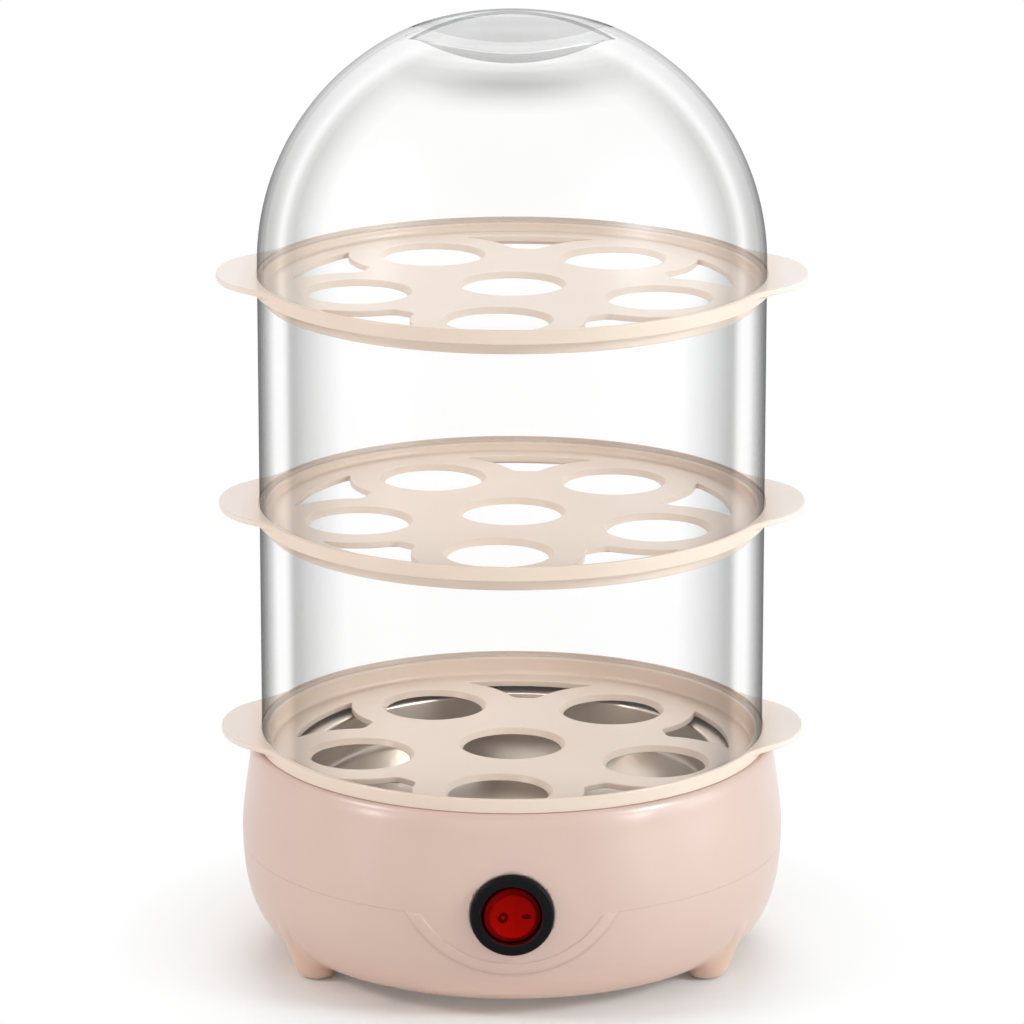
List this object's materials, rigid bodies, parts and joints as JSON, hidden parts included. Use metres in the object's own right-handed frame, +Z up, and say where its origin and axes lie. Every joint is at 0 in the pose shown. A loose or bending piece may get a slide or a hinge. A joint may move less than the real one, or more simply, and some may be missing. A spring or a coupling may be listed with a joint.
{
  "type": "egg cooker",
  "caption": "Tiered electric egg steamer: round cream base with a rocker switch on stub feet, seat trays with ears, clear walls between them and a clear dome.",
  "frame": {"origin": "on the table, on the common axis of the trays", "axes": "+Z up; -Y to the front, where the switch is; +X to the right-hand ears"},
  "size_m": [0.1858, 0.1776, 0.3042],
  "materials": {
    "cream_plastic": "satin moulded polypropylene",
    "clear_plastic": "clear polished",
    "black_plastic": "satin",
    "red_plastic": "translucent, polished",
    "steel": "spun and pressed",
    "brass": "plain",
    "pale_rubber": "matte silicone",
    "dark_rubber": "matte",
    "ceramic": "unglazed",
    "lead_sleeve": "glass-fibre sleeve"
  },
  "bodies": {
    "base": {"upper_housing": "cream_plastic", "lower_housing": "cream_plastic", "foot_pad_right": "pale_rubber", "foot_pad_back": "pale_rubber", "foot_pad_left": "pale_rubber", "heating_plate": "steel", "switch_body": "black_plastic", "cord_inlet_grommet": "dark_rubber", "plate_gasket": "pale_rubber", "heating_element": "steel", "thermostat": "ceramic", "thermostat_strap": "steel", "strap_nut_right": "steel", "strap_nut_left": "steel", "plate_nut_right": "steel", "plate_nut_left": "steel", "plate_nut_front": "steel", "thermal_fuse": "brass", "fuse_clip": "steel", "terminal_block": "ceramic", "switch_terminal_left": "brass", "switch_terminal_right": "brass", "switch_lead_left": "lead_sleeve", "switch_lead_right": "lead_sleeve", "element_lead_left": "lead_sleeve", "element_lead_right": "lead_sleeve", "housing_screw_right": "steel", "housing_screw_back": "steel", "housing_screw_left": "steel"},
    "switch_rocker": {"switch_rocker": "red_plastic"},
    "bottom_tray": {"bottom_tray": "cream_plastic"},
    "lower_clear_wall": {"lower_clear_wall": "clear_plastic"},
    "middle_tray": {"middle_tray": "cream_plastic"},
    "upper_clear_wall": {"upper_clear_wall": "clear_plastic"},
    "top_tray": {"top_tray": "cream_plastic"},
    "dome_cover": {"dome_cover": "clear_plastic"}
  },
  "joints": [
    {"name": "rocker_tilt", "type": "hinge", "parent": "base", "child": "switch_rocker", "pos_m": [0, -0.0853, 0.0374], "axis": [0, 0, 1], "range_deg": [-16, 0]},
    {"name": "bottom_tray_lift", "type": "slide", "parent": "base", "child": "bottom_tray", "axis": [0, 0, 1], "range_m": [0, 0.04]},
    {"name": "lower_clear_wall_lift", "type": "slide", "parent": "bottom_tray", "child": "lower_clear_wall", "axis": [0, 0, 1], "range_m": [0, 0.04]},
    {"name": "middle_tray_lift", "type": "slide", "parent": "lower_clear_wall", "child": "middle_tray", "axis": [0, 0, 1], "range_m": [0, 0.04]},
    {"name": "upper_clear_wall_lift", "type": "slide", "parent": "middle_tray", "child": "upper_clear_wall", "axis": [0, 0, 1], "range_m": [0, 0.04]},
    {"name": "top_tray_lift", "type": "slide", "parent": "upper_clear_wall", "child": "top_tray", "axis": [0, 0, 1], "range_m": [0, 0.04]},
    {"name": "dome_cover_lift", "type": "slide", "parent": "top_tray", "child": "dome_cover", "axis": [0, 0, 1], "range_m": [0, 0.06]}
  ]
}
